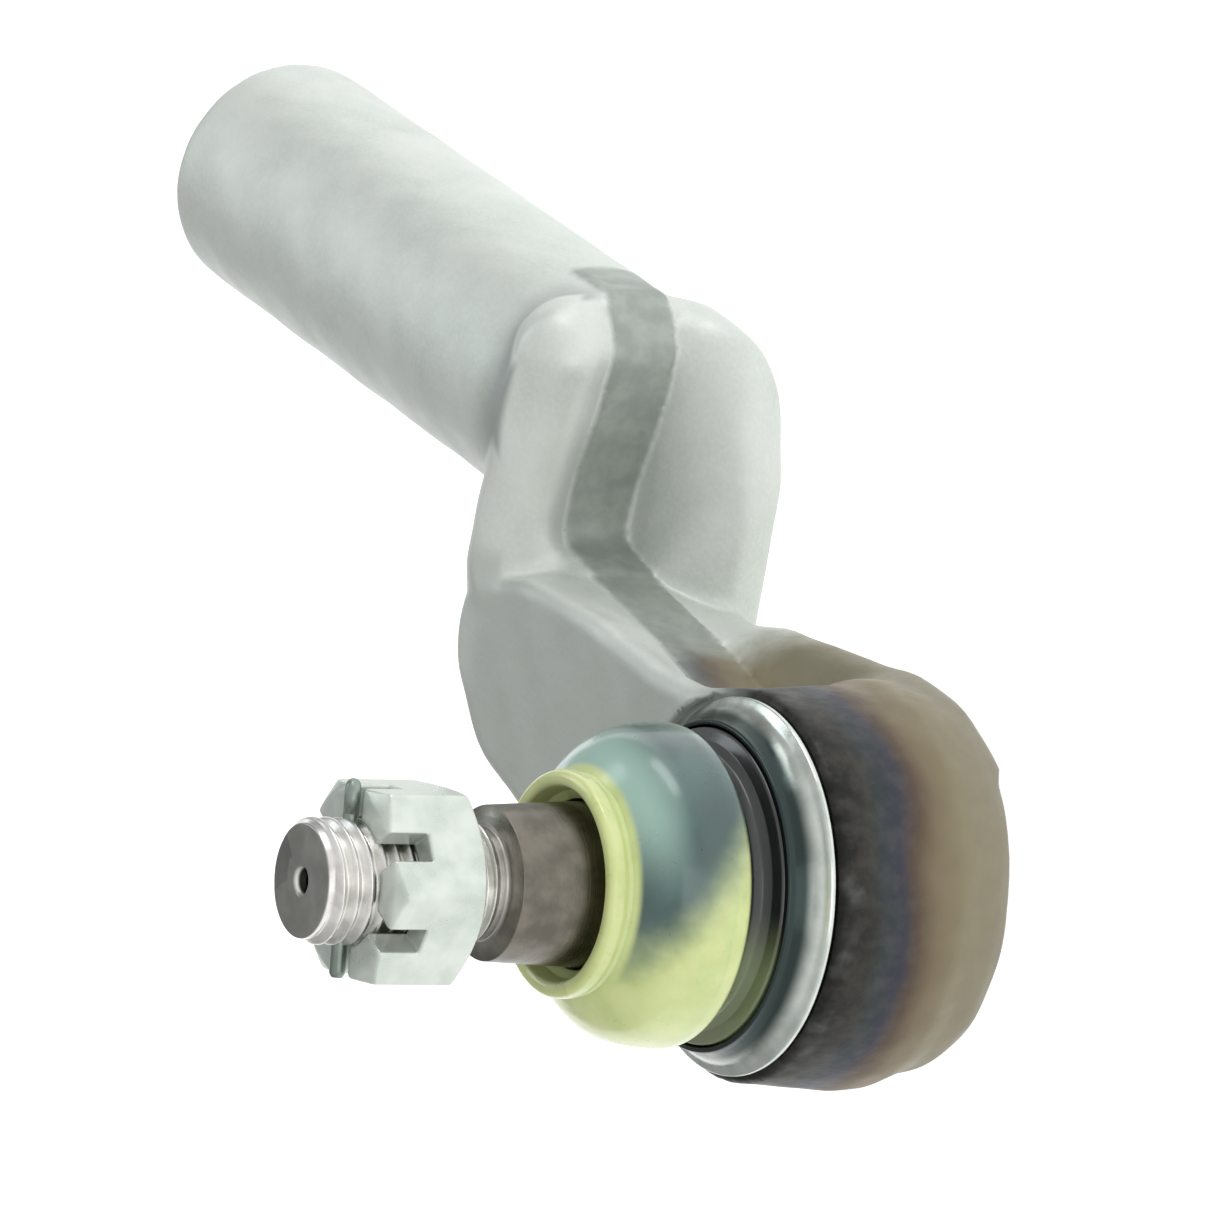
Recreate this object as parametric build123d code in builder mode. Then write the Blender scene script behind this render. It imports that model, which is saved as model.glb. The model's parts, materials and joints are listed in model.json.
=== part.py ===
from build123d import *
import os
from math import cos, radians, sin, sqrt, tan

# Heavy commercial-vehicle tie rod end: a cranked forging with a female-threaded
# shank, and a ball stud in a spring-loaded joint, sealed by a dust boot.
# Millimetres. The stud axis is Z and points up to the nut. The origin is the
# gauge plane, the large end of the stud's taper. X runs along the shank to its
# open end. The shank axis stands off the stud axis by -Y.

os.makedirs("parts", exist_ok=True)

# ---- frame -------------------------------------------------------------------
parting_z = -52.0             # parting plane of the forging, holds the shank axis
ball_z = parting_z + 7.5      # centre of the ball

# ---- ball stud ---------------------------------------------------------------
ball_r = 21.0
neck_r = 11.0
taper_large_r = 16.0          # at the gauge plane
taper_per_mm = 0.05           # 1:10 on diameter
taper_top = 23.5
taper_foot = -2.0             # the cylindrical band under the taper ends here
neck_top = -18.0
undercut_r = 10.8
undercut_top = 26.5
thread_r = 12.0               # M24, plain major diameter
stud_top = 63.0
stud_chamfer = 1.5
centre_hole_r = 1.6
centre_hole_depth = 6.0
centre_cone_r = 2.9

# ---- slotted nut and split pin -----------------------------------------------
nut_af = 36.0
nut_bottom = 33.0
nut_top = 53.0
nut_bore_r = thread_r + 0.05
nut_chamfer_r = 17.6
nut_turn = 13.0               # degrees, one corner of the hexagon from the X axis
slot_width = 5.5
slot_depth = 8.4
pin_z = 53.6                  # rests in the mouths of two slots
pin_r = 1.6
pin_hole_r = 1.9
pin_turn = nut_turn + 90.0    # degrees, through the middle of two flats
pin_tip = 18.3                # the legs end this far from the stud axis
eye_centre = 16.4
eye_r = 2.1
eye_wire_r = 0.9
eye_tilt = 30.0               # degrees about the pin's own axis

# ---- bearing shells, spring and cover ----------------------------------------
running_gap = 0.05
shell_outer_r = 25.5
shell_split_gap = 0.7
shell_edge_angle = 58.0       # from the stud axis, where the upper shell ends
seat_bottom = ball_z - 19.4
seat_hole_r = 8.5
plate_t = 2.0
plate_hole_r = 9.0
spring_t = 1.7
spring_inner_r = 12.5
spring_outer_r = 24.5
spring_gap = 0.05
cap_r = 28.5
cap_t = 3.4
cap_groove_r = 26.8
cap_groove_h = 1.8
cap_dome_r = 12.0
cap_dome_h = 0.9
seal_wire_r = 0.82

# ---- housing -----------------------------------------------------------------
housing_bottom = parting_z - 22.2
roll_lip_t = 1.1
roll_lip_r = 26.8
throat_r = 20.6
mouth_r = 23.2
housing_neck_r = 27.2
housing_shoulder = parting_z + 19.7
housing_top = parting_z + 29.0
ring_seat_clear_r = 37.6

# ---- shank -------------------------------------------------------------------
shank_y = -57.5
shank_r = 25.5
shank_start = 114.0
shank_end = 266.0
shank_edge_r = 3.0
thread_minor_r = 14.19        # M30 x 1.5, plain minor diameter
thread_depth = 85.0
thread_countersink = 1.3
drill_tip = 7.0

# ---- cranked arm -------------------------------------------------------------
neck_half = 22.5              # half the arm's height at the housing
crank_half = 28.0             # half its height where it turns up to the shank
crank_drop = 3.5              # its middle lies this much under the parting plane

# ---- boot and its rings ------------------------------------------------------
soft_gap = 0.3
ring_t = 1.2
ring_seat_r = 30.8
ring_top = parting_z + 27.8
ring_bend = parting_z + 24.6
ring_rim_r = 36.4
boot_bulge_r = 31.2
lip_r = 21.8
lip_mouth_r = 18.0
lip_top = 8.5
waist_z = -22.5
shoulder_z = 2.8
insert_inner_r = 16.35
insert_t = 2.0
insert_bottom = -4.0
insert_top = 2.4


# ==== the arm =================================================================
# Outline in the parting plane, each corner with its radius: along the neck, up
# the crank to the shank, and back down the outside of the bend.
arm_corners = [
    ((14.0, -32.0), 0.0),
    ((32.0, -35.0), 40.0),
    ((64.0, -27.5), 60.0),
    ((98.0, -28.5), 15.0),
    ((112.0, -31.0), 7.0),
    ((104.0, -66.0), 20.0),
    ((107.0, -80.5), 10.0),
    ((127.0, -84.0), 10.0),
    ((125.0, -36.0), 60.0),
    ((125.5, -8.0), 16.0),
    ((101.0, 12.0), 20.0),
    ((60.0, 21.0), 60.0),
    ((32.0, 33.5), 40.0),
    ((14.0, 32.0), 0.0),
]
# The part of it that turns up to the shank is thicker.
crank_corners = [
    ((86.0, -26.0), 10.0),
    ((104.0, -30.0), 9.5),
    ((98.5, -50.0), 30.0),
    ((98.0, -68.0), 20.0),
    ((102.0, -82.0), 10.0),
    ((127.0, -84.0), 10.0),
    ((124.0, -36.0), 60.0),
    ((124.0, -10.0), 14.0),
    ((104.0, 7.0), 12.0),
    ((84.0, -3.0), 10.0),
]
arm_edge_r = 7.0
band_half = 6.0               # the trimmed flash line is a flat band
band_proud = 0.8


def arm_block(corners, grow, middle_z, half, edge_r):
    """A block of the given outline, reaching half its height each way."""
    points = [corner[0] for corner in corners]
    radii = [corner[1] for corner in corners]
    with BuildPart() as block:
        with BuildSketch(Plane.XY.offset(middle_z)):
            with BuildLine():
                FilletPolyline(*points, radius=radii, close=True)
            make_face()
            offset(amount=grow)
        extrude(amount=half, both=True)
        if edge_r > 0:
            levels = block.edges().group_by(Axis.Z)
            fillet(levels[0] + levels[-1], radius=edge_r)
    return block.part


neck_block = arm_block(arm_corners, 0.0, parting_z, neck_half, arm_edge_r)
crank_block = arm_block(crank_corners, 0.0, parting_z - crank_drop, crank_half, arm_edge_r)
flash_band = arm_block(arm_corners, band_proud, parting_z, band_half, 0.0)

# ==== housing forging =========================================================
throat_z = ball_z + sqrt(shell_outer_r**2 - throat_r**2)
cover_seat_z = housing_bottom + roll_lip_t + cap_t

with BuildPart() as housing_forging:
    with BuildSketch(Plane.XZ):
        with BuildLine():
            Polyline(
                (0, housing_bottom),
                (28.5, housing_bottom),
                (32.6, housing_bottom + 1.6),
                (34.8, housing_bottom + 5.2),
                (35.7, parting_z - 12.5),
                (38.8, parting_z - 6.0),
                (39.1, parting_z - 1.0),
                (38.7, parting_z + 6.0),
                (37.6, housing_shoulder - 1.5),
                (36.6, housing_shoulder),
                (housing_neck_r, housing_shoulder),
                (housing_neck_r, housing_top),
                (0, housing_top),
                (0, housing_bottom),
            )
        make_face()
    revolve(axis=Axis.Z)
    add(neck_block)
    add(crank_block)
    add(flash_band)
    with BuildSketch(Plane.YZ.offset(shank_start)):
        with Locations((shank_y, parting_z)):
            Circle(shank_r)
    extrude(amount=shank_end - shank_start)
    mouth_edge = housing_forging.faces().sort_by(Axis.X)[-1].edges()
    fillet(mouth_edge, radius=shank_edge_r)

    # Machined seat around the boot's ring, where the arm would stand in its way.
    with BuildSketch(Plane.XY.offset(housing_shoulder)):
        Circle(ring_seat_clear_r)
        Circle(housing_neck_r, mode=Mode.SUBTRACT)
    extrude(amount=crank_half, mode=Mode.SUBTRACT)

    # Bearing chamber, throat and flared mouth, open at both ends.
    with BuildSketch(Plane.XZ):
        with BuildLine():
            Polyline(
                (0, housing_bottom - 1.0),
                (roll_lip_r, housing_bottom - 1.0),
                (roll_lip_r, housing_bottom + roll_lip_t),
                (cap_r + running_gap, housing_bottom + roll_lip_t),
                (cap_r + running_gap, cover_seat_z),
                (shell_outer_r, cover_seat_z),
                (shell_outer_r, ball_z),
            )
            RadiusArc((shell_outer_r, ball_z), (throat_r, throat_z), -shell_outer_r)
            Polyline(
                (throat_r, throat_z),
                (throat_r, throat_z + 1.5),
                (mouth_r, housing_top - 1.0),
                (mouth_r + 1.0, housing_top),
                (mouth_r + 1.0, housing_top + 1.0),
                (0, housing_top + 1.0),
                (0, housing_bottom - 1.0),
            )
        make_face()
    revolve(axis=Axis.Z, mode=Mode.SUBTRACT)

    # Female thread of the shank, at its plain minor diameter, with a drill point.
    with BuildSketch(Plane.XY.offset(parting_z)):
        with BuildLine():
            Polyline(
                (shank_end + 1.0, shank_y),
                (shank_end + 1.0, shank_y + thread_minor_r + thread_countersink + 1.0),
                (shank_end - thread_countersink, shank_y + thread_minor_r),
                (shank_end - thread_depth, shank_y + thread_minor_r),
                (shank_end - thread_depth - drill_tip, shank_y),
                (shank_end + 1.0, shank_y),
            )
        make_face()
    revolve(axis=Axis((0, shank_y, parting_z), (1, 0, 0)), mode=Mode.SUBTRACT)
housing_forging.part.label = "housing_forging"
export_step(housing_forging.part, "parts/housing_forging.step")


# ==== ball stud ===============================================================
neck_foot = ball_z + sqrt(ball_r**2 - neck_r**2)
taper_small_r = taper_large_r - taper_per_mm * taper_top
pin_axis = (cos(radians(pin_turn)), sin(radians(pin_turn)))
tilt = radians(eye_tilt)
eye_normal = (sin(tilt) * pin_axis[1], -sin(tilt) * pin_axis[0], cos(tilt))
pin_plane = Plane(origin=(0, 0, pin_z), x_dir=eye_normal, z_dir=(*pin_axis, 0))

with BuildPart() as ball_stud:
    with BuildSketch(Plane.XZ):
        with BuildLine():
            ThreePointArc((0, ball_z - ball_r), (ball_r, ball_z), (neck_r, neck_foot))
            Line((neck_r, neck_foot), (neck_r, neck_top))
            Spline(
                (neck_r, neck_top),
                (12.6, -9.5),
                (taper_large_r, taper_foot),
                tangents=[(0, 1), (0.25, 1)],
            )
            Polyline(
                (taper_large_r, taper_foot),
                (taper_large_r, 0),
                (taper_small_r, taper_top),
                (undercut_r, taper_top + 0.6),
                (undercut_r, undercut_top),
                (thread_r, undercut_top + 1.2),
                (thread_r, stud_top - stud_chamfer),
                (thread_r - stud_chamfer, stud_top),
                (centre_cone_r, stud_top),
                (centre_hole_r, stud_top - 2.0),
                (centre_hole_r, stud_top - centre_hole_depth),
                (0, stud_top - centre_hole_depth - 1.0),
                (0, ball_z - ball_r),
            )
        make_face()
    revolve(axis=Axis.Z)
    with BuildSketch(pin_plane):
        Circle(pin_hole_r)
    extrude(amount=2 * thread_r, both=True, mode=Mode.SUBTRACT)
ball_stud.part.label = "ball_stud"
export_step(ball_stud.part, "parts/ball_stud.step")


# ==== slotted nut =============================================================
nut_height = nut_top - nut_bottom
hex_corner_r = nut_af / 2 / cos(radians(30))
chamfer_drop = (hex_corner_r - nut_chamfer_r) * tan(radians(30))

with BuildPart() as castle_nut:
    with BuildSketch(Plane.XY.offset(nut_bottom)):
        RegularPolygon(radius=hex_corner_r, side_count=6, rotation=nut_turn)
    extrude(amount=nut_height)
    with BuildSketch(Plane.XZ):
        with BuildLine():
            Polyline(
                (0, nut_bottom),
                (nut_chamfer_r, nut_bottom),
                (hex_corner_r, nut_bottom + chamfer_drop),
                (hex_corner_r + 1.0, nut_bottom + chamfer_drop),
                (hex_corner_r + 1.0, nut_top - chamfer_drop),
                (hex_corner_r, nut_top - chamfer_drop),
                (nut_chamfer_r, nut_top),
                (0, nut_top),
                (0, nut_bottom),
            )
        make_face()
    revolve(axis=Axis.Z, mode=Mode.INTERSECT)
    with Locations((0, 0, nut_top - slot_depth / 2)):
        with PolarLocations(0, 3, start_angle=nut_turn + 30.0, angular_range=180.0):
            Box(2 * hex_corner_r + 2.0, slot_width, slot_depth, mode=Mode.SUBTRACT)
    with BuildSketch(Plane.XY.offset(nut_bottom - 1.0)):
        Circle(nut_bore_r)
    extrude(amount=nut_height + 2.0, mode=Mode.SUBTRACT)
    bore_rims = castle_nut.edges().filter_by(GeomType.CIRCLE)
    lower_rim = bore_rims.filter_by(lambda e: abs(e.radius - nut_bore_r) < 0.01).sort_by(Axis.Z)[0]
    chamfer(lower_rim, length=1.0)
castle_nut.part.label = "castle_nut"
export_step(castle_nut.part, "parts/castle_nut.step")


# ==== split pin ===============================================================
leg_gap = 0.15                # each leg is half a wire, flat side inwards
leg_root = eye_centre - eye_r

with BuildPart() as cotter_pin:
    # The shank of the pin, two half-round wires side by side.
    with BuildSketch(pin_plane.offset(-leg_root)):
        Circle(pin_r)
        Rectangle(2 * pin_r, 2 * leg_gap, mode=Mode.SUBTRACT)
    extrude(amount=leg_root + pin_tip)
    # The eye joins the two wires.
    with Locations(pin_plane.offset(-eye_centre)):
        Torus(eye_r, eye_wire_r, rotation=(0, 90, 0))
cotter_pin.part.label = "cotter_pin"
export_step(cotter_pin.part, "parts/cotter_pin.step")


# ==== bearing shells ==========================================================
shell_inner_r = ball_r + running_gap
edge_angle = radians(shell_edge_angle)
shell_fit_r = shell_outer_r - 0.02

with BuildPart() as upper_bearing_shell:
    with BuildSketch(Plane.XZ):
        with BuildLine():
            inner_start = (shell_inner_r, ball_z)
            inner_end = (shell_inner_r * sin(edge_angle), ball_z + shell_inner_r * cos(edge_angle))
            outer_end = (shell_fit_r * sin(edge_angle), ball_z + shell_fit_r * cos(edge_angle))
            outer_start = (shell_fit_r, ball_z)
            RadiusArc(inner_start, inner_end, -shell_inner_r)
            Line(inner_end, outer_end)
            RadiusArc(outer_end, outer_start, shell_fit_r)
            Line(outer_start, inner_start)
        make_face()
    revolve(axis=Axis.Z)
upper_bearing_shell.part.label = "upper_bearing_shell"
export_step(upper_bearing_shell.part, "parts/upper_bearing_shell.step")

slide_r = shell_outer_r - running_gap
seat_top = ball_z - shell_split_gap
seat_top_r = sqrt(shell_inner_r**2 - shell_split_gap**2)
seat_hole_z = ball_z - sqrt(shell_inner_r**2 - seat_hole_r**2)

with BuildPart() as lower_bearing_shell:
    with BuildSketch(Plane.XZ):
        with BuildLine():
            RadiusArc((seat_top_r, seat_top), (seat_hole_r, seat_hole_z), shell_inner_r)
            Polyline(
                (seat_hole_r, seat_hole_z),
                (seat_hole_r, seat_bottom),
                (slide_r, seat_bottom),
                (slide_r, seat_top),
                (seat_top_r, seat_top),
            )
        make_face()
    revolve(axis=Axis.Z)
lower_bearing_shell.part.label = "lower_bearing_shell"
export_step(lower_bearing_shell.part, "parts/lower_bearing_shell.step")

with BuildPart() as thrust_plate:
    with BuildSketch(Plane.XY.offset(seat_bottom - plate_t)):
        Circle(slide_r)
        Circle(plate_hole_r, mode=Mode.SUBTRACT)
    extrude(amount=plate_t)
    plate_rims = thrust_plate.edges().filter_by(GeomType.CIRCLE).group_by(Axis.Z)[0]
    chamfer(plate_rims, length=0.4)
thrust_plate.part.label = "thrust_plate"
export_step(thrust_plate.part, "parts/thrust_plate.step")


# ==== disc spring =============================================================
spring_top = seat_bottom - plate_t - spring_gap
spring_foot = cover_seat_z + spring_gap

with BuildPart() as preload_spring:
    with BuildSketch(Plane.XZ):
        with BuildLine():
            Polyline(
                (spring_inner_r, spring_top - spring_t),
                (spring_outer_r, spring_foot),
                (spring_outer_r, spring_foot + spring_t),
                (spring_inner_r, spring_top),
                close=True,
            )
        make_face()
    revolve(axis=Axis.Z)
preload_spring.part.label = "preload_spring"
export_step(preload_spring.part, "parts/preload_spring.step")


# ==== cover plate and its seal ================================================
groove_z = cover_seat_z - cap_t / 2

with BuildPart() as closing_cap:
    with BuildSketch(Plane.XZ):
        with BuildLine():
            Polyline(
                (0, cover_seat_z - cap_dome_h),
                (cap_dome_r, cover_seat_z - cap_dome_h),
                (cap_dome_r + 1.5, cover_seat_z),
                (cap_r, cover_seat_z),
                (cap_r, groove_z + cap_groove_h / 2),
                (cap_groove_r, groove_z + cap_groove_h / 2),
                (cap_groove_r, groove_z - cap_groove_h / 2),
                (cap_r, groove_z - cap_groove_h / 2),
                (cap_r, cover_seat_z - cap_t),
                (cap_dome_r + 2.5, cover_seat_z - cap_t),
                (cap_dome_r, cover_seat_z - cap_t - cap_dome_h),
                (0, cover_seat_z - cap_t - cap_dome_h),
                close=True,
            )
        make_face()
    revolve(axis=Axis.Z)
closing_cap.part.label = "closing_cap"
export_step(closing_cap.part, "parts/closing_cap.step")

with BuildPart() as cap_seal:
    with BuildSketch(Plane.XZ):
        with Locations((cap_r - seal_wire_r, groove_z)):
            Circle(seal_wire_r)
    revolve(axis=Axis.Z)
cap_seal.part.label = "cap_seal"
export_step(cap_seal.part, "parts/cap_seal.step")


# ==== dust boot ===============================================================
bead_r = housing_neck_r + soft_gap
bead_outer_r = ring_seat_r - soft_gap
bead_foot = housing_shoulder + soft_gap
insert_outer_r = insert_inner_r + insert_t

with BuildPart() as dust_boot:
    with BuildSketch(Plane.XZ):
        with BuildLine():
            # outside, from the bead up over the bulge to the lip
            Polyline(
                (bead_r, bead_foot),
                (bead_outer_r, bead_foot),
                (bead_outer_r, waist_z),
            )
            Spline(
                (bead_outer_r, waist_z),
                (boot_bulge_r - 0.4, waist_z + 4.5),
                (boot_bulge_r, waist_z + 10.0),
                (boot_bulge_r - 0.8, waist_z + 16.5),
                (27.6, waist_z + 21.5),
                (22.6, shoulder_z),
                tangents=[(0, 1), (-1, 0.35)],
            )
            Polyline(
                (22.6, shoulder_z),
                (21.2, shoulder_z + 1.0),
                (21.2, shoulder_z + 1.8),
                (lip_r, shoulder_z + 3.0),
                (lip_r, lip_top),
                (lip_mouth_r, lip_top),
                (lip_mouth_r - 0.4, lip_top - 3.5),
                (insert_inner_r, insert_top + 1.2),
                (insert_inner_r, insert_top + soft_gap),
                (insert_outer_r + soft_gap, insert_top + soft_gap),
                (insert_outer_r + soft_gap, insert_bottom),
                (20.4, insert_bottom - 0.4),
            )
            # inside, back down to the bead
            Spline(
                (20.4, insert_bottom - 0.4),
                (26.2, insert_bottom - 2.4),
                (28.4, insert_bottom - 8.5),
                (28.0, waist_z + 4.0),
                (bead_r, waist_z + 1.0),
                tangents=[(1, 0.1), (-0.3, -1)],
            )
            Line((bead_r, waist_z + 1.0), (bead_r, bead_foot))
        make_face()
    revolve(axis=Axis.Z)
dust_boot.part.label = "dust_boot"
export_step(dust_boot.part, "parts/dust_boot.step")

with BuildPart() as boot_stiffener_ring:
    with BuildSketch(Plane.XY.offset(insert_bottom)):
        Circle(insert_outer_r)
        Circle(insert_inner_r, mode=Mode.SUBTRACT)
    extrude(amount=insert_top - insert_bottom)
    chamfer(boot_stiffener_ring.edges().filter_by(GeomType.CIRCLE), length=0.4)
boot_stiffener_ring.part.label = "boot_stiffener_ring"
export_step(boot_stiffener_ring.part, "parts/boot_stiffener_ring.step")

with BuildPart() as boot_retaining_ring:
    with BuildSketch(Plane.XZ):
        with BuildLine():
            # inner face down from the top edge, out along the flare to the rim
            Polyline(
                (ring_seat_r, ring_top),
                (ring_seat_r, ring_bend),
                (ring_seat_r + 1.4, ring_bend - 2.6),
                (ring_rim_r - ring_t, housing_shoulder),
                (ring_rim_r, housing_shoulder),
                (ring_rim_r, housing_shoulder + 1.2),
                (ring_seat_r + 1.4 + ring_t, ring_bend - 2.0),
                (ring_seat_r + ring_t, ring_bend + 0.4),
                (ring_seat_r + ring_t, ring_top),
                close=True,
            )
        make_face()
    revolve(axis=Axis.Z)
boot_retaining_ring.part.label = "boot_retaining_ring"
export_step(boot_retaining_ring.part, "parts/boot_retaining_ring.step")
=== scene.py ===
import json
import math

import bpy
import numpy as np
from mathutils import Matrix, Vector


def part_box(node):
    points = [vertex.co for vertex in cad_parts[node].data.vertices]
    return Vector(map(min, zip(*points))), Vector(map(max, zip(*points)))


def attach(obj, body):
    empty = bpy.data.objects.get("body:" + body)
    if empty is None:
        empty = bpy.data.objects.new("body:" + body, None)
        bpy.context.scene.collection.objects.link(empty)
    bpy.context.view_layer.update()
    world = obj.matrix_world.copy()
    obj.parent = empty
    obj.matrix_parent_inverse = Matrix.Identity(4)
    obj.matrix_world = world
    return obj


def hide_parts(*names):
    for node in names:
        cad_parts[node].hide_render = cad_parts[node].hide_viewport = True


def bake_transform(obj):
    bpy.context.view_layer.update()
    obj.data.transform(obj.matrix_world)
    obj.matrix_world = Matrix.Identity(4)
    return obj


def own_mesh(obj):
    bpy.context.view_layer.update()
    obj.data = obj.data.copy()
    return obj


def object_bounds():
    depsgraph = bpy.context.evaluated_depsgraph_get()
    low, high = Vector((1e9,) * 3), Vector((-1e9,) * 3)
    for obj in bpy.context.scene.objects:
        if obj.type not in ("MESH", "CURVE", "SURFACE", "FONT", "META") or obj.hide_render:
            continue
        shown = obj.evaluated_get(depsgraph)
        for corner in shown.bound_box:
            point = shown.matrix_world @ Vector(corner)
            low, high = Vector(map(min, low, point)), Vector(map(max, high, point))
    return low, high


# Looks of a cranked tie rod end. Shapes are worked out in millimetres in the part's
# own frame and turned into metres when a mesh is made. Z is the stud axis, X runs
# along the shank, and the large end of the stud's taper is at z = 0.

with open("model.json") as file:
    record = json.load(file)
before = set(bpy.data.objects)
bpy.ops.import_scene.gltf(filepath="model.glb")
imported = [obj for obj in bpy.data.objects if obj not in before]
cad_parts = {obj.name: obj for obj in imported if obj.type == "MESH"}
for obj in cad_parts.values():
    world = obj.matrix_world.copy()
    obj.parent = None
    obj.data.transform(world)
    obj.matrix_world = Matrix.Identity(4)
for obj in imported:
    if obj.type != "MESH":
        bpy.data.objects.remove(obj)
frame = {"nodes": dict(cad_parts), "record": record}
cad_low, cad_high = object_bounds()
MM = 0.001


def span(node):
    """Lowest and highest corner of a CAD node, in millimetres."""
    low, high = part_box(node)
    return np.array(low) / MM, np.array(high) / MM


# ==== sizes, from the frame ===================================================
forging_low, forging_high = span("housing_forging")
stud_low, stud_high = span("ball_stud")
nut_low, nut_high = span("castle_nut")
pin_low, pin_high = span("cotter_pin")
cap_low, cap_high = span("closing_cap")
ring_low, ring_high = span("boot_retaining_ring")
insert_low, insert_high = span("boot_stiffener_ring")
nut_points = np.array([v.co for v in frame["nodes"]["castle_nut"].data.vertices]) / MM
nut_corner = nut_points[np.argmax(np.hypot(nut_points[:, 0], nut_points[:, 1]))]
mounts = {mount["name"]: mount for mount in frame["record"]["mounts"]}

ball_r = (stud_high[0] - stud_low[0]) / 2
ball_z = stud_low[2] + ball_r
stud_top = stud_high[2]
shank_y = mounts["shank_thread"]["pos_m"][1] / MM
parting_z = mounts["shank_thread"]["pos_m"][2] / MM
female_minor_r = mounts["shank_thread"]["dims"]["r_mm"]
female_depth = mounts["shank_thread"]["dims"]["length_mm"]
shank_end = forging_high[0]
shoulder_z = ring_low[2]
ring_top = ring_high[2]
rim_r = ring_high[0]
lip_top = span("dust_boot")[1][2]
nut_bottom = nut_low[2]
nut_top = nut_high[2]
nut_turn = math.atan2(nut_corner[1], nut_corner[0]) % math.radians(60)
pin_z = (pin_low[2] + pin_high[2]) / 2

# ==== sizes the frame doesn't state ===========================================
shank_r = 25.5
housing_bottom = cap_low[2] - 0.2
housing_top = parting_z + 29.0
core_r = 29.0                 # the bored core meets the forged skin here
nut_af = 36.0
nut_bevel_r = 17.6
slot_width = 5.5
slot_depth = 8.4
thread_r = 12.0
thread_pitch = 3.0
female_pitch = 1.5
thread_depth = 0.6134         # a thread's depth for a pitch of 1
ring_seat_r = 30.8
lip_outer_r = 21.8
seam_z = -13.5                # the two bands of the boot meet here


# ==== mesh helpers ============================================================
def enclosed_volume(mesh):
    """The volume inside a closed mesh, less than 0 if its faces look inwards."""
    mesh.calc_loop_triangles()
    corners = np.array([t.vertices for t in mesh.loop_triangles])
    points = np.array([v.co for v in mesh.vertices])
    a, b, c = (points[corners[:, k]] for k in range(3))
    return (a * np.cross(b, c)).sum() / 6


def make_piece(name, points, faces, body=None, replaces=(), surface=None):
    """A smooth-shaded mesh object from points in millimetres."""
    mesh = bpy.data.meshes.new(name)
    mesh.from_pydata((np.asarray(points, float) * MM).tolist(), [], faces)
    mesh.validate()
    mesh.polygons.foreach_set("use_smooth", [True] * len(mesh.polygons))
    if enclosed_volume(mesh) < 0:
        mesh.flip_normals()
    mesh.update()
    piece = bpy.data.objects.new(name, mesh)
    bpy.context.scene.collection.objects.link(piece)
    if surface:
        mesh.materials.append(surface)
    if body:
        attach(piece, body)
    if replaces:
        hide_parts(*replaces)
    return piece


def rounded(corners, closed=True, turn=9.0):
    """Points along an outline of corners (a, b, radius), with each corner rounded."""
    points = []
    count = len(corners)
    for i, (a, b, radius) in enumerate(corners):
        here = np.array([a, b], float)
        if radius == 0 or (not closed and i in (0, count - 1)):
            points.append(here)
            continue
        back = np.array(corners[i - 1][:2], float) - here
        ahead = np.array(corners[(i + 1) % count][:2], float) - here
        back /= np.linalg.norm(back)
        ahead /= np.linalg.norm(ahead)
        half = math.acos(np.clip(back @ ahead, -1, 1)) / 2
        if half > math.radians(89.5):
            points.append(here)
            continue
        middle = (back + ahead) / np.linalg.norm(back + ahead)
        centre = here + middle * radius / math.sin(half)
        start = here + back * radius / math.tan(half) - centre
        side = 1 if back[0] * ahead[1] - back[1] * ahead[0] < 0 else -1
        sweep = side * (math.pi - 2 * half)
        steps = max(1, round(math.degrees(abs(sweep)) / turn))
        for angle in np.linspace(0, sweep, steps + 1):
            c, s = math.cos(angle), math.sin(angle)
            points.append(centre + [start[0] * c - start[1] * s, start[0] * s + start[1] * c])
    return np.array(points)


def smooth_line(points, per=6):
    """A Catmull-Rom line through the points, with the ends as they are."""
    points = np.array(points, float)
    padded = np.vstack([2 * points[0] - points[1], points, 2 * points[-1] - points[-2]])
    line = []
    for i in range(len(points) - 1):
        a, b, c, d = padded[i : i + 4]
        for t in np.arange(per) / per:
            line.append(
                0.5
                * (2 * b + (c - a) * t + (2 * a - 5 * b + 4 * c - d) * t**2 + (3 * b - a - 3 * c + d) * t**3)
            )
    return np.vstack([line, points[-1:]])


def lathe(profile, steps=128, closed=True, shape=None):
    """Points and faces of a profile of (radius, height) turned about Z.

    closed joins the last profile point to the first. A profile that starts or ends
    on the axis gets one point there. shape(radius, height, angle) may return a new radius.
    """
    profile = np.array(profile, float)
    angles = np.linspace(0, 2 * math.pi, steps, endpoint=False)
    radius = np.repeat(profile[:, :1], steps, 1)
    height = np.repeat(profile[:, 1:], steps, 1)
    around = np.repeat(angles[None, :], len(profile), 0)
    if shape:
        radius = shape(radius, height, around)
    points = np.stack([radius * np.cos(around), radius * np.sin(around), height], -1)
    points = points.reshape(-1, 3)
    count = len(profile)
    rows = count if closed else count - 1
    faces = []
    for i in range(rows):
        j = (i + 1) % count
        on_axis = (profile[i, 0] == 0, profile[j, 0] == 0)
        for k in range(steps):
            m = (k + 1) % steps
            if all(on_axis):
                continue
            if on_axis[0]:
                faces.append((i * steps, j * steps + m, j * steps + k))
            elif on_axis[1]:
                faces.append((i * steps + k, i * steps + m, j * steps))
            else:
                faces.append((i * steps + k, i * steps + m, j * steps + m, j * steps + k))
    return keep_used(points, faces)


def keep_used(points, faces):
    """The same mesh without the points that no face uses."""
    used = np.unique(np.concatenate([np.array(f) for f in faces]))
    place = np.full(len(points), -1)
    place[used] = np.arange(len(used))
    return points[used], [tuple(int(place[i]) for i in f) for f in faces]


def along_x(points, y, z):
    """Turned parts made about Z, laid along X on the line at y and z."""
    return np.stack([points[:, 2], y + points[:, 0], z + points[:, 1]], -1)


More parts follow.
